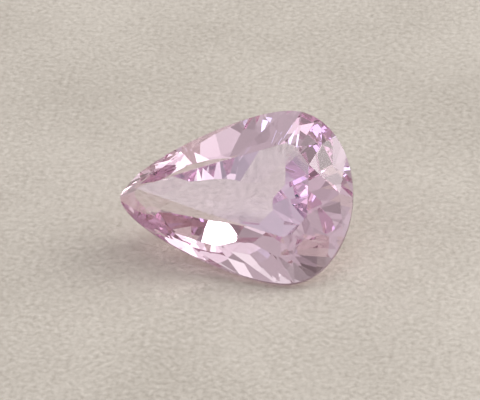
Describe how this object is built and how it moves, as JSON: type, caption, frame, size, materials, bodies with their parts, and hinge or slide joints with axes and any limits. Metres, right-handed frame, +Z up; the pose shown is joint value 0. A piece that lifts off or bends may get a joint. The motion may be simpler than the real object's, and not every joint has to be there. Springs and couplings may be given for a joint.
{
  "type": "pear-cut kunzite gemstone",
  "caption": "Loose faceted kunzite, pear cut, pale pink-lilac and see-through, lying on a facet of its pavilion with the table tilted up.",
  "frame": {"origin": "middle of the bounding box on the surface that the stone lies on", "axes": "+Z up off the surface, +X from the stone's tip towards its round head, +Y towards the raised side of the girdle"},
  "size_m": [0.018, 0.0104, 0.0096],
  "materials": {
    "kunzite": "polished, clear, pale pink-lilac"
  },
  "bodies": {
    "root": {"kunzite": "kunzite"}
  },
  "joints": []
}
